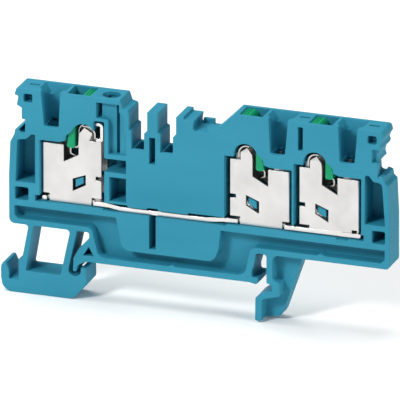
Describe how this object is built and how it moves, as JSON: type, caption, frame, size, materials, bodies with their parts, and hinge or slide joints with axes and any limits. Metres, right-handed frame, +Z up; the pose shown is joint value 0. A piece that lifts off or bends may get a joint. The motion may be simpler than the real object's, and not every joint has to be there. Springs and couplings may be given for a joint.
{
  "type": "feed-through terminal block",
  "caption": "Narrow rail-mounted terminal block, open on one side, with spring clamps on one bar, release pushers, wire funnels and clip-on feet.",
  "frame": {"origin": "middle of the rail seat, on the plane where the body stands on the rail, at mid width of the block", "axes": "+X along the block towards the two clamps and the rigid foot, +Y across the width towards the closed back, +Z up away from the rail"},
  "size_m": [0.0687, 0.0052, 0.0364],
  "materials": {
    "housing_blue": "moulded polyamide, fine matt",
    "pusher_green": "moulded polyamide, satin",
    "cage_steel": "plated sheet, satin",
    "spring_steel": "rolled strip, bright",
    "tinned_bar": "tin-plated, satin"
  },
  "bodies": {
    "block": {"housing": "housing_blue", "current_bar": "tinned_bar", "test_contact": "tinned_bar", "clamp_cage_left": "cage_steel", "clamp_cage_middle": "cage_steel", "clamp_cage_right": "cage_steel", "clamp_spring_left": "spring_steel", "clamp_spring_middle": "spring_steel", "clamp_spring_right": "spring_steel"},
    "left_pusher": {"pusher_left": "pusher_green"},
    "middle_pusher": {"pusher_middle": "pusher_green"},
    "right_pusher": {"pusher_right": "pusher_green"}
  },
  "joints": [
    {"name": "left_pusher_press", "type": "slide", "parent": "block", "child": "left_pusher", "axis": [-0.1564, 0, -0.9877], "range_m": [0, 0.0015], "stiffness_N_per_m": 4000, "springref_m": -0.0003, "deforming": ["clamp_spring_left"]},
    {"name": "middle_pusher_press", "type": "slide", "parent": "block", "child": "middle_pusher", "axis": [0.1564, 0, -0.9877], "range_m": [0, 0.0015], "stiffness_N_per_m": 4000, "springref_m": -0.0003, "deforming": ["clamp_spring_middle"]},
    {"name": "right_pusher_press", "type": "slide", "parent": "block", "child": "right_pusher", "axis": [0.1564, 0, -0.9877], "range_m": [0, 0.0015], "stiffness_N_per_m": 4000, "springref_m": -0.0003, "deforming": ["clamp_spring_right"]}
  ]
}
